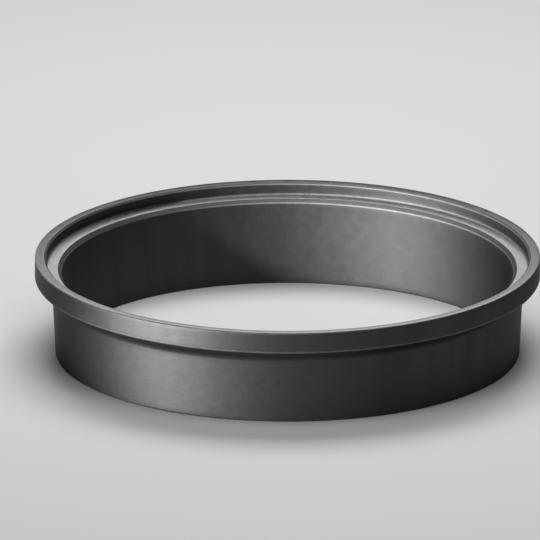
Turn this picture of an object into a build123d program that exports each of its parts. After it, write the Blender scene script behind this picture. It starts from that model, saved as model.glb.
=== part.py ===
"""Cast iron riser ring for a round drain: one casting that lifts the drain's cover to a new level.

Millimetres, +Z up. The origin is the centre of the foot, so the ring stands on Z = 0.
From the top down it has a thin rim round a recessed seat for the cover, a wide band with a
tapered underside, and a drafted skirt that drops into the frame below. Water and the tools
that clean the drain pass through the open bore.
"""
from build123d import *
import math
import os

# Overall height of the casting
ring_height = 100.0

# Seat that holds the cover: a round recess with a flat ledge at its bottom
recess_radius = 243.0
recess_depth = 12.7
seat_width = 15.8

# Band that carries the rim, with a tapered underside below it
rim_width = 11.0
band_height = 21.0
underside_drop = 11.0

# Skirt below the band. Both of its faces lean inwards a little, so that the pattern leaves the sand
foot_wall = 9.0
bore_draft_angle = 2.0
skirt_draft_angle = 3.0

# Rounds and small chamfers on the casting's corners
rim_inside_round = 1.6
bore_mouth_round = 3.5
skirt_root_fillet = 4.0
rim_edge_chamfer = 1.2
seat_corner_chamfer = 1.2
band_edge_chamfer = 1.2
foot_chamfer = 1.5

# Heights of the section's corners
seat_height = ring_height - recess_depth
band_bottom = ring_height - band_height
skirt_top = band_bottom - underside_drop

# Radii of the section's corners
band_radius = recess_radius + rim_width
bore_mouth_radius = recess_radius - seat_width
bore_foot_radius = bore_mouth_radius - seat_height * math.tan(math.radians(bore_draft_angle))
skirt_foot_radius = bore_foot_radius + foot_wall
skirt_top_radius = skirt_foot_radius + skirt_top * math.tan(math.radians(skirt_draft_angle))

# Corners of the section, each as its radius from the axis and its height
bore_foot = (bore_foot_radius, 0)
skirt_foot = (skirt_foot_radius, 0)
skirt_root = (skirt_top_radius, skirt_top)
band_edge = (band_radius, band_bottom)
rim_outside = (band_radius, ring_height)
rim_inside = (recess_radius, ring_height)
seat_corner = (recess_radius, seat_height)
bore_mouth = (bore_mouth_radius, seat_height)

outline = [bore_foot, skirt_foot, skirt_root, band_edge, rim_outside, rim_inside, seat_corner, bore_mouth]
rounds = [
    (skirt_root, skirt_root_fillet),
    (rim_inside, rim_inside_round),
    (bore_mouth, bore_mouth_round),
]
chamfers = [
    (bore_foot, foot_chamfer),
    (skirt_foot, foot_chamfer),
    (band_edge, band_edge_chamfer),
    (rim_outside, rim_edge_chamfer),
    (seat_corner, seat_corner_chamfer),
]


def corner_of(face, corner):
    """The vertex of the section that lies at this radius and height."""
    radius, height = corner
    return face.vertices().sort_by_distance((radius, 0, height))[0]


def ring_section():
    """Half the ring's section as a face in the XZ plane, with its corners rounded and chamfered."""
    face = Plane.XZ * make_face(Polyline(outline, close=True))
    for corner, size in rounds:
        face = fillet(corner_of(face, corner), size)
    for corner, size in chamfers:
        face = chamfer(corner_of(face, corner), size)
    return face


riser_ring = revolve(ring_section(), Axis.Z)
riser_ring.label = "riser_ring"

os.makedirs("parts", exist_ok=True)
export_step(riser_ring, "parts/riser_ring.step")

print("radius of the band", band_radius, "and of the bore's mouth", bore_mouth_radius)
print("radius of the bore at the foot", round(bore_foot_radius, 2), "and of the skirt", round(skirt_foot_radius, 2))
print("radius of the skirt below the band", round(skirt_top_radius, 2))
print("volume in cubic millimetres", round(riser_ring.volume))
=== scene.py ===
# %% [markdown]
# # A cast iron riser ring for a drain
# The real ring is one casting. It lifts the cover of a drain to the level of new paving: its
# skirt stands in the old opening, and its recess holds the cover. Molten grey iron is poured into
# a sand mould, the rough casting is cleaned and faced where the cover lies, and then it is dipped
# in a thin black coating. This lesson shows how to turn its section into a ring, how to give it
# the skin of a coated casting, and how to light a black object so that its form can be read.

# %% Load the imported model
import math

import bmesh
import bpy
from mathutils import Matrix, Vector


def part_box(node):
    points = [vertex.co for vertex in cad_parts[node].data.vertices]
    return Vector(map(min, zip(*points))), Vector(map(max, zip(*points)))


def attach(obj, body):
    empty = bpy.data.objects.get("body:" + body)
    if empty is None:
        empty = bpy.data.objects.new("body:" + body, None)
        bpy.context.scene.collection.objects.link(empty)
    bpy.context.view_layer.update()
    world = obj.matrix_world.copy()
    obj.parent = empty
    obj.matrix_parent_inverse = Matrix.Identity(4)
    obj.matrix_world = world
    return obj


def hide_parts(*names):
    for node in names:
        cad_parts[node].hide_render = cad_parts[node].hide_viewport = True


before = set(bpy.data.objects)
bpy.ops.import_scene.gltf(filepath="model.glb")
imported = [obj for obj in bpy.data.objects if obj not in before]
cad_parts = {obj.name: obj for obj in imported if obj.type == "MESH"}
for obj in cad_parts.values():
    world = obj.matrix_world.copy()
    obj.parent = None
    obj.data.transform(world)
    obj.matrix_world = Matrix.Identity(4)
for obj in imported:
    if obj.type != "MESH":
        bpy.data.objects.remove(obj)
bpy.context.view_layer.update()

_, ring_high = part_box("riser_ring")
band_radius = ring_high.x
ring_height = ring_high.z
scene = bpy.context.scene
scene.view_settings.view_transform = "Standard"

# %% [markdown]
# ## The camera
# In the picture the top of the rim and the foot are ellipses of the same ratio, so the view is a
# parallel one: an orthographic camera. The ratio of an ellipse's half height to its half width is
# the sine of the angle that the camera looks down at. The ellipse's width in pixels against the
# ring's real width gives the scale, and its centre says where the ring stands in the frame.

# %% Place the camera from the ellipse of the rim
frame_px = 540.0
rim_centre_px = Vector((287.5, 256.5))
rim_half_width_px = 252.7
rim_half_height_px = 77.1
camera_distance = 3.0

metres_per_px = band_radius / rim_half_width_px
look_down = math.asin(rim_half_height_px / rim_half_width_px)
camera_turn = Matrix.Rotation(math.pi / 2 - look_down, 3, "X")
offset_px = rim_centre_px - Vector((frame_px, frame_px)) / 2
frame_centre_shift = camera_turn @ Vector((-offset_px.x, offset_px.y, 0)) * metres_per_px

camera = bpy.data.objects.new("camera", bpy.data.cameras.new("camera"))
scene.collection.objects.link(camera)
scene.camera = camera
camera.data.type = "ORTHO"
camera.data.ortho_scale = frame_px * metres_per_px
camera.rotation_euler = camera_turn.to_euler()
rim_centre = Vector((0, 0, ring_height))
camera.location = rim_centre + frame_centre_shift + camera_turn @ Vector((0, 0, camera_distance))
print("looks down by", round(math.degrees(look_down), 2), "degrees, frame is",
      round(camera.data.ortho_scale, 4), "m wide")

# %% [markdown]
# ## The section of the ring
# From the top down the ring has a thin rim, an upright wall round the recess, a flat ledge as the
# cover's seat and the bore. Outside, a wide band tapers into a skirt that leans inwards. Such a
# pattern is turned on a lathe, so it is fully given by its section: the outline that a saw would
# show if it cut the wall. The ring could be stacked from simple rings and cylinders, but then
# every corner would need its own repair. One outline holds the whole form, with a chamfer at the
# rim and at the mouth of the bore, and a round on every corner. The outside and the height come
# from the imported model, and the other sizes are the ring's own.

# %% Name the sizes of the section
rim_width = 0.0110
recess_depth = 0.0127
seat_width = 0.0158
band_height = 0.0210
underside_drop = 0.0110
foot_wall = 0.0090
rim_chamfer = 0.0016
mouth_chamfer = 0.0035
bore_draft = math.radians(2.0)
skirt_draft = math.radians(3.0)

seat_height = ring_height - recess_depth
band_bottom = ring_height - band_height
skirt_top = band_bottom - underside_drop
recess_radius = band_radius - rim_width
bore_mouth_radius = recess_radius - seat_width
bore_foot_radius = bore_mouth_radius - seat_height * math.tan(bore_draft)
skirt_foot_radius = bore_foot_radius + foot_wall
skirt_root_radius = skirt_foot_radius + skirt_top * math.tan(skirt_draft)
print("ledge", seat_width, "m wide, bore", round(2 * bore_foot_radius, 4), "m wide at the foot")

# %% List the corners of the section, each with its round
rim_chamfer_foot = ring_height - rim_chamfer
mouth_chamfer_foot = seat_height - mouth_chamfer
mouth_chamfer_foot_radius = bore_mouth_radius - mouth_chamfer * math.tan(bore_draft)

section_corners = [
    ("foot inside", bore_foot_radius, 0, 0.0020),
    ("foot outside", skirt_foot_radius, 0, 0.0020),
    ("skirt root", skirt_root_radius, skirt_top, 0.0040),
    ("band edge", band_radius, band_bottom, 0.0012),
    ("rim outside", band_radius, ring_height, 0.0014),
    ("rim chamfer top", recess_radius + rim_chamfer, ring_height, 0.0004),
    ("rim chamfer foot", recess_radius, rim_chamfer_foot, 0.0005),
    ("seat corner", recess_radius, seat_height, 0.0021),
    ("mouth chamfer top", bore_mouth_radius + mouth_chamfer, seat_height, 0.0004),
    ("mouth chamfer foot", mouth_chamfer_foot_radius, mouth_chamfer_foot, 0.0010),
]
print(len(section_corners), "corners")

# %% [markdown]
# ## Rounding the section and turning it
# The outline starts as a flat face with sharp corners. Bevelling one vertex at a time gives each
# corner its own round. The face itself is then deleted, because only its outline is spun. Long
# stretches are divided first, so that the finished mesh has even quads, which take a smooth shade
# all the way round.

# %% Turn the rounded outline into a ring
round_segments = 6
longest_stretch = 0.0045
spin_steps = 288
merge_distance = 0.000001


def outline_of_section(bm):
    """The rounded outline as a loop of edges in the XZ plane."""
    corners = [bm.verts.new((radius, 0, height)) for _, radius, height, _ in section_corners]
    bm.faces.new(corners)
    for corner, (_, _, _, corner_round) in zip(corners, section_corners):
        bmesh.ops.bevel(bm, geom=[corner], offset=corner_round, offset_type="OFFSET",
                        affect="VERTICES", segments=round_segments, profile=0.5, material=-1)
    bmesh.ops.delete(bm, geom=bm.faces[:], context="FACES_ONLY")
    for edge in bm.edges[:]:
        cuts = int(edge.calc_length() / longest_stretch)
        if cuts:
            bmesh.ops.subdivide_edges(bm, edges=[edge], cuts=cuts)


ring_bm = bmesh.new()
outline_of_section(ring_bm)
print("outline has", len(ring_bm.verts), "vertices")
bmesh.ops.spin(ring_bm, geom=ring_bm.verts[:] + ring_bm.edges[:], axis=(0, 0, 1), cent=(0, 0, 0),
               steps=spin_steps, angle=2 * math.pi, use_merge=True, use_duplicate=False)
bmesh.ops.remove_doubles(ring_bm, verts=ring_bm.verts[:], dist=merge_distance)
bmesh.ops.recalc_face_normals(ring_bm, faces=ring_bm.faces[:])
for face in ring_bm.faces:
    face.smooth = True
ring_mesh = bpy.data.meshes.new("cast_ring")
ring_bm.to_mesh(ring_mesh)
open_edges = sum(not edge.is_manifold for edge in ring_bm.edges)
print(len(ring_bm.faces), "faces,", open_edges, "open edges, volume",
      round(ring_bm.calc_volume() * 1e6), "cm3")
ring_bm.free()

cast_ring = bpy.data.objects.new("cast_ring", ring_mesh)
scene.collection.objects.link(cast_ring)
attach(cast_ring, "root")
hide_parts("riser_ring")

# %% [markdown]
# ## Node helpers
# Every finish below is built from nodes, so a few small helpers keep the cells short. One adds a
# node and sets or links its sockets, one adds a Math node, one mixes two colours, one makes noise
# of a given size in metres, and two start a shader node group with named inputs and outputs and
# place it in a material.

# %% Define the helpers for nodes


def add_node(tree, kind, values=(), **settings):
    """A node of this kind, with its properties set and values or links for its named inputs."""
    node = tree.nodes.new(kind)
    for name, value in settings.items():
        setattr(node, name, value)
    for name, value in dict(values).items():
        if isinstance(value, bpy.types.NodeSocket):
            tree.links.new(value, node.inputs[name])
        else:
            node.inputs[name].default_value = value
    return node


def maths(tree, operation, first, second=0.0, third=0.0, clamp=False):
    """The output of a Math node."""
    return add_node(tree, "ShaderNodeMath", {0: first, 1: second, 2: third}, operation=operation,
                    use_clamp=clamp).outputs[0]


def mix_colours(tree, factor, first, second):
    """The colour of a Mix node. Its sockets share their names, so they are given by number."""
    return add_node(tree, "ShaderNodeMix", {0: factor, 6: first, 7: second},
                    data_type="RGBA").outputs[2]


def noise_of_size(tree, vector, size, detail, roughness=0.5):
    """Noise whose features are about this size in metres."""
    return add_node(tree, "ShaderNodeTexNoise", {
        "Vector": vector, "Scale": maths(tree, "DIVIDE", 1.0, size),
        "Detail": detail, "Roughness": roughness}).outputs["Fac"]


def start_group(name, inputs, outputs):
    """A shader node group, the sockets that bring its inputs, and its output node."""
    group = bpy.data.node_groups.new(name, "ShaderNodeTree")
    for socket_name, kind, default in inputs:
        socket = group.interface.new_socket(socket_name, in_out="INPUT", socket_type=kind)
        if default is not None:
            socket.default_value = default
    for socket_name in outputs:
        group.interface.new_socket(socket_name, in_out="OUTPUT", socket_type="NodeSocketFloat")
    return group, group.nodes.new("NodeGroupInput").outputs, group.nodes.new("NodeGroupOutput")


def place_group(tree, group, values):
    """The outputs of the group, placed as a node in a tree."""
    return add_node(tree, "ShaderNodeGroup", values, node_tree=group).outputs


# %% [markdown]
# ## The skin of a sand casting
# Sand leaves its grain on the iron: bumps under a millimetre, wider lumps where the mould was
# rammed unevenly, and a few small pits where a grain of sand broke off. A displaced mesh would
# need millions of faces for this, so the sizes are noise and cell textures, added up as one
# height that a Bump node turns into light and shade.

# %% Build the group for the cast skin
cast_skin, skin_in, skin_out = start_group(
    "cast skin",
    [("Vector", "NodeSocketVector", None), ("Grain Size", "NodeSocketFloat", 0.001),
     ("Lump Size", "NodeSocketFloat", 0.009), ("Pit Spacing", "NodeSocketFloat", 0.007)],
    ["Height", "Mottle"])
sand_detail = 3.0
sand_coarseness = 0.62
lump_detail = 2.0
lump_share = 1.4
pit_reach = 0.17
pitted_cells = 0.62

sand = noise_of_size(cast_skin, skin_in["Vector"], skin_in["Grain Size"],
                     sand_detail, sand_coarseness)
lumps = noise_of_size(cast_skin, skin_in["Vector"], skin_in["Lump Size"], lump_detail)
cells = add_node(cast_skin, "ShaderNodeTexVoronoi", {
    "Vector": skin_in["Vector"], "Scale": maths(cast_skin, "DIVIDE", 1.0, skin_in["Pit Spacing"])})
cell_draw = add_node(cast_skin, "ShaderNodeSeparateColor",
                     {"Color": cells.outputs["Color"]}).outputs[0]
has_pit = maths(cast_skin, "GREATER_THAN", cell_draw, pitted_cells)
way_out = maths(cast_skin, "DIVIDE", cells.outputs["Distance"], pit_reach)
bowl = maths(cast_skin, "SUBTRACT", 1.0, way_out, clamp=True)
pits = maths(cast_skin, "MULTIPLY", has_pit, bowl)
relief = maths(cast_skin, "MULTIPLY_ADD", lumps, lump_share, sand)
cast_skin.links.new(maths(cast_skin, "SUBTRACT", relief, pits), skin_out.inputs["Height"])
cast_skin.links.new(lumps, skin_out.inputs["Mottle"])
print("group", cast_skin.name, "has", len(cast_skin.nodes), "nodes")

# %% [markdown]
# ## Runs in the coating
# The casting is hung up to dry after its dip, so the black coating runs down the walls and dries
# in faint upright bands. A noise texture gives them when the height is squeezed before it is
# read: each blot is then drawn out along the wall. Because it is read in the object's own space,
# it goes round the ring without a seam.

# %% Build the group for the runs
coating_runs, runs_in, runs_out = start_group(
    "coating runs",
    [("Vector", "NodeSocketVector", None), ("Run Width", "NodeSocketFloat", 0.016)],
    ["Runs"])
height_squeeze = (1.0, 1.0, 0.07)
run_detail = 2.0
drawn_out = add_node(coating_runs, "ShaderNodeVectorMath",
                     {0: runs_in["Vector"], 1: height_squeeze},
                     operation="MULTIPLY").outputs["Vector"]
blots = noise_of_size(coating_runs, drawn_out, runs_in["Run Width"], run_detail)
coating_runs.links.new(blots, runs_out.inputs["Runs"])
print("group", coating_runs.name, "has", len(coating_runs.nodes), "nodes")

# %% [markdown]
# ## Worn corners and painted highlight lines
# A corner of a turned section is a circle, so the distance to it needs two numbers only: how far
# a point is from the axis, and how high it is. That gives a mask that is exact all the way round,
# with no texture painted onto the mesh. It marks real wear and also painted highlight lines along
# the edges. Patches of noise are added before the mask is cut off, so the mask has a ragged edge
# and comes and goes along the corner.

# %% Build the group for worn corners and their painted highlight lines
# The group's mask marks worn corners and the painted highlight lines along them.
corner_wear_and_highlight, edge_mask_in, edge_mask_out = start_group(
    "corner wear",
    [("From Axis", "NodeSocketFloat", 0.0), ("Height", "NodeSocketFloat", 0.0),
     ("Corner Radius", "NodeSocketFloat", 0.1), ("Corner Height", "NodeSocketFloat", 0.1),
     ("Reach", "NodeSocketFloat", 0.002), ("Patches", "NodeSocketFloat", 0.5)],
    ["Wear"])
patch_pull = 0.9
edge_sharpness = 1.4

out_of_corner = maths(corner_wear_and_highlight, "SUBTRACT", edge_mask_in["From Axis"], edge_mask_in["Corner Radius"])
above_corner = maths(corner_wear_and_highlight, "SUBTRACT", edge_mask_in["Height"], edge_mask_in["Corner Height"])
squares = maths(corner_wear_and_highlight, "MULTIPLY_ADD", above_corner, above_corner,
                maths(corner_wear_and_highlight, "MULTIPLY", out_of_corner, out_of_corner))
from_corner = maths(corner_wear_and_highlight, "SQRT", squares)
share_of_reach = maths(corner_wear_and_highlight, "DIVIDE", from_corner, edge_mask_in["Reach"])
nearness = maths(corner_wear_and_highlight, "SUBTRACT", 1.0, share_of_reach)
centred_patches = maths(corner_wear_and_highlight, "SUBTRACT", edge_mask_in["Patches"], 0.5)
ragged = maths(corner_wear_and_highlight, "MULTIPLY_ADD", centred_patches, patch_pull, nearness)
cut_off = maths(corner_wear_and_highlight, "MULTIPLY", ragged, edge_sharpness, clamp=True)
corner_wear_and_highlight.links.new(cut_off, edge_mask_out.inputs["Wear"])
print("group", corner_wear_and_highlight.name, "has", len(corner_wear_and_highlight.nodes), "nodes")

# %% [markdown]
# ## Turned faces
# The rim's top and the ledge are faced on a lathe before the ring is coated, so that the cover
# lies flat. The tool leaves fine rings. Noise that is read by the distance from the axis gives
# rings of uneven strength, and a little of the place itself, greatly squeezed, lets each one fade
# in and out on its way round.

# %% Build the group for turned rings
turned_rings, rings_in, rings_out = start_group(
    "turned rings",
    [("Vector", "NodeSocketVector", None), ("From Axis", "NodeSocketFloat", 0.0),
     ("Ring Width", "NodeSocketFloat", 0.0007)],
    ["Rings"])
way_round_squeeze = (0.02, 0.02, 0.0)
ring_detail = 2.0
squeezed = add_node(turned_rings, "ShaderNodeVectorMath",
                    {0: rings_in["Vector"], 1: way_round_squeeze},
                    operation="MULTIPLY").outputs["Vector"]
by_radius = add_node(turned_rings, "ShaderNodeCombineXYZ",
                     {"Z": rings_in["From Axis"]}).outputs["Vector"]
read_place = add_node(turned_rings, "ShaderNodeVectorMath", {0: squeezed, 1: by_radius},
                      operation="ADD").outputs["Vector"]
tool_marks = noise_of_size(turned_rings, read_place, rings_in["Ring Width"], ring_detail)
turned_rings.links.new(tool_marks, rings_out.inputs["Rings"])
print("group", turned_rings.name, "has", len(turned_rings.nodes), "nodes")

# %% [markdown]
# ## Black iron: where each finish lies
# One material covers the whole casting, and masks say where each finish lies. The flat tops are
# found by the way they face, and the ledge among them by its height. The lighter grey on the
# corners is partly wear, where a cover, a hand or the ground touches, and partly painted highlight:
# thin light lines along the edges. It lies on the lower edges of the two chamfers, the corner of
# the seat, the edges of the band and the foot.

# %% Find the flat tops and the ledge
coated_iron = bpy.data.materials.new("coated_cast_iron")
coated_iron.use_nodes = True
tree = coated_iron.node_tree
tree.nodes.clear()
coordinates = add_node(tree, "ShaderNodeTexCoord").outputs
place = coordinates["Object"]
height = add_node(tree, "ShaderNodeSeparateXYZ", {"Vector": place}).outputs["Z"]
level_place = add_node(tree, "ShaderNodeVectorMath", {0: place, 1: (1.0, 1.0, 0.0)},
                       operation="MULTIPLY").outputs["Vector"]
from_axis = add_node(tree, "ShaderNodeVectorMath", {0: level_place},
                     operation="LENGTH").outputs["Value"]

flat_above = 0.9
flat_slope = 1 / (1 - flat_above)
facing_up = add_node(tree, "ShaderNodeSeparateXYZ", {"Vector": coordinates["Normal"]}).outputs["Z"]
flat_top = maths(tree, "MULTIPLY_ADD", facing_up, flat_slope, -flat_above * flat_slope, clamp=True)
below_rim = maths(tree, "LESS_THAN", height, ring_height - recess_depth / 2)
on_ledge = maths(tree, "MULTIPLY", flat_top, below_rim)
print("a top counts as flat where its normal rises above", flat_above)

# %% Find the worn corners with their painted highlight lines, each with how far its mask reaches
patch_size = 0.006
patch_detail = 3.0
patch_coarseness = 0.6
# Corners whose mask carries wear and painted highlight lines.
worn_and_highlit_corners = [
    ("rim chamfer foot", recess_radius, rim_chamfer_foot, 0.0011),
    ("rim outside", band_radius, ring_height, 0.0013),
    ("seat corner", recess_radius, seat_height, 0.0024),
    ("mouth chamfer foot", mouth_chamfer_foot_radius, mouth_chamfer_foot, 0.0013),
    ("band edge", band_radius, band_bottom, 0.0018),
    ("foot outside", skirt_foot_radius, 0.0, 0.0018),
    ("foot inside", bore_foot_radius, 0.0, 0.0018),
]

patches = noise_of_size(tree, place, patch_size, patch_detail, patch_coarseness)
wear_and_edge_highlight = None
for _, corner_radius, corner_height, reach in worn_and_highlit_corners:
    corner = place_group(tree, corner_wear_and_highlight, {
        "From Axis": from_axis, "Height": height, "Corner Radius": corner_radius,
        "Corner Height": corner_height, "Reach": reach, "Patches": patches})["Wear"]
    wear_and_edge_highlight = corner if wear_and_edge_highlight is None else maths(tree, "MAXIMUM", wear_and_edge_highlight, corner)
print("worn:", ", ".join(name for name, _, _, _ in worn_and_highlit_corners))

# %% [markdown]
# ## Black iron: colour
# The coating has graphite in it, so the material is built as a very dark metal: it has almost no
# colour of its own and shows its form by the light that it mirrors. The runs and lumps shift its
# black a little. The faced rim is painted lighter: partly the thinner coating where the tool's
# rings show through, partly painted light on a top that catches the light from above. The ledge is
# painted lighter still: partly rubbed greyer by covers, partly painted light. The corners get a
# lighter grey that is partly wear and partly painted highlight lines.

# %% Colour the iron
deep_black = (0.045, 0.045, 0.046, 1.0)
iron_black = (0.071, 0.070, 0.070, 1.0)
# Painted light: the faced tops are lighter partly for the thinner coating, partly as light falling
# on them from above.
faced_and_top_lit_black = (0.110, 0.109, 0.108, 1.0)
# Painted light: the ledge is lighter partly from rubbing by covers, partly as painted light
# standing in for light on it.
worn_and_top_lit_seat = (0.195, 0.194, 0.192, 1.0)
# Painted highlight: this corner grey is partly wear and partly painted highlight lines along the
# edges.
worn_and_highlight_grey = (0.135, 0.133, 0.131, 1.0)
run_share = 0.6
lump_tint_share = 0.4

skin = place_group(tree, cast_skin, {"Vector": place})
runs = place_group(tree, coating_runs, {"Vector": place})["Runs"]
rings = place_group(tree, turned_rings, {"Vector": place, "From Axis": from_axis})["Rings"]


def rub_and_top_light(where, all_over, by_rings, by_patches):
    """How far a top is painted lighter, partly rubbed and partly painted light from above: all
    over, along the tool's rings, and in patches.
    """
    rub = maths(tree, "MULTIPLY_ADD", rings, by_rings, all_over)
    rub = maths(tree, "MULTIPLY_ADD", patches, by_patches, rub)
    return maths(tree, "MULTIPLY", where, rub, clamp=True)


lump_tint = maths(tree, "MULTIPLY", skin["Mottle"], lump_tint_share)
blackness = maths(tree, "MULTIPLY_ADD", runs, run_share, lump_tint)
black = mix_colours(tree, blackness, deep_black, iron_black)
# Painted light on the flat tops, mixed with real rubbing along the tool's rings.
lit_and_rubbed_tops = rub_and_top_light(flat_top, all_over=0.15, by_rings=0.7, by_patches=0.4)
# Painted light on the ledge, mixed with real rubbing by covers.
lit_and_rubbed_ledge = rub_and_top_light(on_ledge, all_over=0.15, by_rings=0.5, by_patches=0.8)
faced_and_top_lit = mix_colours(tree, lit_and_rubbed_tops, black, faced_and_top_lit_black)
seated_and_top_lit = mix_colours(tree, lit_and_rubbed_ledge, faced_and_top_lit, worn_and_top_lit_seat)
# The corners are painted lighter grey, partly wear and partly painted highlight.
colour = mix_colours(tree, wear_and_edge_highlight, seated_and_top_lit, worn_and_highlight_grey)
print("black from", deep_black[0], "to", iron_black[0], "and rubbed grey up to", worn_and_top_lit_seat[0])

# %% [markdown]
# ## Black iron: gloss and relief
# The satin gloss is uneven, because the coating dries dull on the lumps and smooth in its runs.
# The faced tops are smoother, while worn corners and slopes that face upwards, such as the
# chamfers, are duller. The grain of the skin is at its full depth on the walls and nearly turned
# away on the tops, which have their rings instead. A metal's Specular Tint is the strength of its
# shine at a low angle. It is set below white, because a coating with graphite doesn't flash there
# as polished steel does.

# %% Give the iron its gloss and relief, and finish the material
wall_roughness = 0.54
rim_roughness = 0.30
ledge_roughness = 0.49
lump_dullness = 0.12
run_dullness = -0.06
wear_dullness = 0.10
slope_dullness = 0.25
grain_depth = 0.00007
skin_lost_on_rim = -0.85
skin_back_on_ledge = 0.45
ring_relief_on_rim = 0.4
ring_relief_on_ledge = 0.4
low_angle_shine = (0.52, 0.52, 0.52, 1.0)

centred_lumps = maths(tree, "SUBTRACT", skin["Mottle"], 0.5)
roughness = maths(tree, "MULTIPLY_ADD", centred_lumps, lump_dullness, wall_roughness)
centred_runs = maths(tree, "SUBTRACT", runs, 0.5)
roughness = maths(tree, "MULTIPLY_ADD", centred_runs, run_dullness, roughness)
roughness = maths(tree, "MULTIPLY_ADD", flat_top, rim_roughness - wall_roughness, roughness)
roughness = maths(tree, "MULTIPLY_ADD", on_ledge, ledge_roughness - rim_roughness, roughness)
roughness = maths(tree, "MULTIPLY_ADD", wear_and_edge_highlight, wear_dullness, roughness)
slope = maths(tree, "SUBTRACT", facing_up, flat_top, clamp=True)
roughness = maths(tree, "MULTIPLY_ADD", slope, slope_dullness, roughness)

skin_share = maths(tree, "MULTIPLY_ADD", flat_top, skin_lost_on_rim, 1.0)
skin_share = maths(tree, "MULTIPLY_ADD", on_ledge, skin_back_on_ledge, skin_share)
ring_share = maths(tree, "MULTIPLY", flat_top, ring_relief_on_rim)
ring_share = maths(tree, "MULTIPLY_ADD", on_ledge, ring_relief_on_ledge, ring_share)
skin_relief = maths(tree, "MULTIPLY", skin["Height"], skin_share)
all_relief = maths(tree, "MULTIPLY_ADD", rings, ring_share, skin_relief)
bump = add_node(tree, "ShaderNodeBump",
                {"Height": all_relief, "Strength": 1.0, "Distance": grain_depth})
surface = add_node(tree, "ShaderNodeBsdfPrincipled", {
    "Base Color": colour, "Roughness": roughness, "Normal": bump.outputs["Normal"], "Metallic": 1.0,
    "Specular Tint": low_angle_shine})
add_node(tree, "ShaderNodeOutputMaterial", {"Surface": surface.outputs["BSDF"]})
ring_mesh.materials.append(coated_iron)
print("material", coated_iron.name, "has", len(tree.nodes), "nodes")

# %% [markdown]
# ## Floor and world
# The floor is a wide disc of a plain light grey, so that the ring stands on something and throws
# a soft shadow. It is matt, because a glossy floor would mirror the ring. The world is a dim even
# grey: black satin iron mirrors all that stands round it, and under a bright sky it would look
# grey all over.

# %% Make the floor and the world
floor_radius = 6.0
floor_sides = 96
floor_pale = (0.76, 0.76, 0.76, 1.0)
world_strength = 0.12

floor_bm = bmesh.new()
bmesh.ops.create_circle(floor_bm, cap_ends=True, radius=floor_radius, segments=floor_sides)
floor_mesh = bpy.data.meshes.new("floor")
floor_bm.to_mesh(floor_mesh)
floor_bm.free()
floor = bpy.data.objects.new("floor", floor_mesh)
scene.collection.objects.link(floor)

floor_material = bpy.data.materials.new("pale_floor")
floor_material.use_nodes = True
tree = floor_material.node_tree
tree.nodes.clear()
plain = add_node(tree, "ShaderNodeBsdfDiffuse", {"Color": floor_pale})
add_node(tree, "ShaderNodeOutputMaterial", {"Surface": plain.outputs[0]})
floor_mesh.materials.append(floor_material)

world = bpy.data.worlds.new("studio")
scene.world = world
world.use_nodes = True
tree = world.node_tree
tree.nodes.clear()
sky = add_node(tree, "ShaderNodeBackground", {"Color": (1, 1, 1, 1), "Strength": world_strength})
add_node(tree, "ShaderNodeOutputWorld", {"Surface": sky.outputs[0]})
print("floor", 2 * floor_radius, "m wide")

# %% [markdown]
# ## Lamps
# Black satin iron is lit by what it mirrors, so each lamp has its own surface to draw. A low
# narrow one at the front left draws the soft upright stripe on the outside. A second one, higher,
# shines over the near wall and draws the stripe's twin in the bore. A panel close behind lies
# where the near rim mirrors it and the far rim looks under it, so the rim fades from front to
# back. Two wide soft panels above light the ledge and the floor.

# %% Define the lamps


def aim_lamp(name, kind, target, bearing, height_angle, distance, power):
    """A lamp that looks at a point. Bearing 0 is the camera's side and grows to the left."""
    bearing, height_angle = math.radians(bearing), math.radians(height_angle)
    away = Vector((-math.sin(bearing) * math.cos(height_angle),
                   -math.cos(bearing) * math.cos(height_angle),
                   math.sin(height_angle)))
    lamp = bpy.data.objects.new(name, bpy.data.lights.new(name, kind))
    lamp.data.energy = power
    lamp.location = Vector(target) + away * distance
    lamp.rotation_euler = (-away).to_track_quat("-Z", "Y").to_euler()
    lamp.visible_camera = False
    scene.collection.objects.link(lamp)
    return lamp


def narrow_lamp(name, cone, edge_softness, soft_radius, **aim):
    """A round lamp behind a hood, whose cone has a soft edge."""
    lamp = aim_lamp(name, "SPOT", **aim)
    lamp.data.spot_size = math.radians(cone)
    lamp.data.spot_blend = edge_softness
    lamp.data.shadow_soft_size = soft_radius
    return lamp


def wide_lamp(name, width, height, **aim):
    """A flat soft panel."""
    lamp = aim_lamp(name, "AREA", **aim)
    lamp.data.shape = "RECTANGLE"
    lamp.data.size = width
    lamp.data.size_y = height
    return lamp


# %% Place the lamps
ring_middle = (0.0, 0.0, ring_height / 2)
near_wall = (0.073, -0.131, 0.05)
far_bore = (0.02, 0.212, 0.07)

key_lamp = narrow_lamp(
    "key_front_left", cone=13, edge_softness=0.5, soft_radius=0.08,
    target=near_wall, bearing=61, height_angle=3, distance=1.6, power=290)
bore_lamp = narrow_lamp(
    "bore_front_left", cone=9.8, edge_softness=0.4, soft_radius=0.12,
    target=far_bore, bearing=63, height_angle=20, distance=1.7, power=930)
behind_panel = wide_lamp(
    "panel_behind", width=0.8, height=0.2,
    target=ring_middle, bearing=180, height_angle=33.7, distance=0.793, power=4.8)
wide_lamp("panel_over_back", width=1.6, height=1.2,
          target=ring_middle, bearing=180, height_angle=63, distance=2.2, power=33)
wide_lamp("panel_over_front", width=1.6, height=1.2,
          target=ring_middle, bearing=0, height_angle=67, distance=2.2, power=15)

# %% [markdown]
# ## Flags
# The three lamps that draw on the iron would also leave bright pools on the floor. A studio hangs
# a black flag in front of each one to keep it off. Here light linking does the same: a lamp with
# a receiver collection lights only the objects in it, and the floor keeps the even light and soft
# shadow of the two panels above.

# %% Keep three lamps off the floor
flagged_lamps = (key_lamp, bore_lamp, behind_panel)
iron_only = bpy.data.collections.new("iron_only")
iron_only.objects.link(cast_ring)
for lamp in flagged_lamps:
    lamp.light_linking.receiver_collection = iron_only
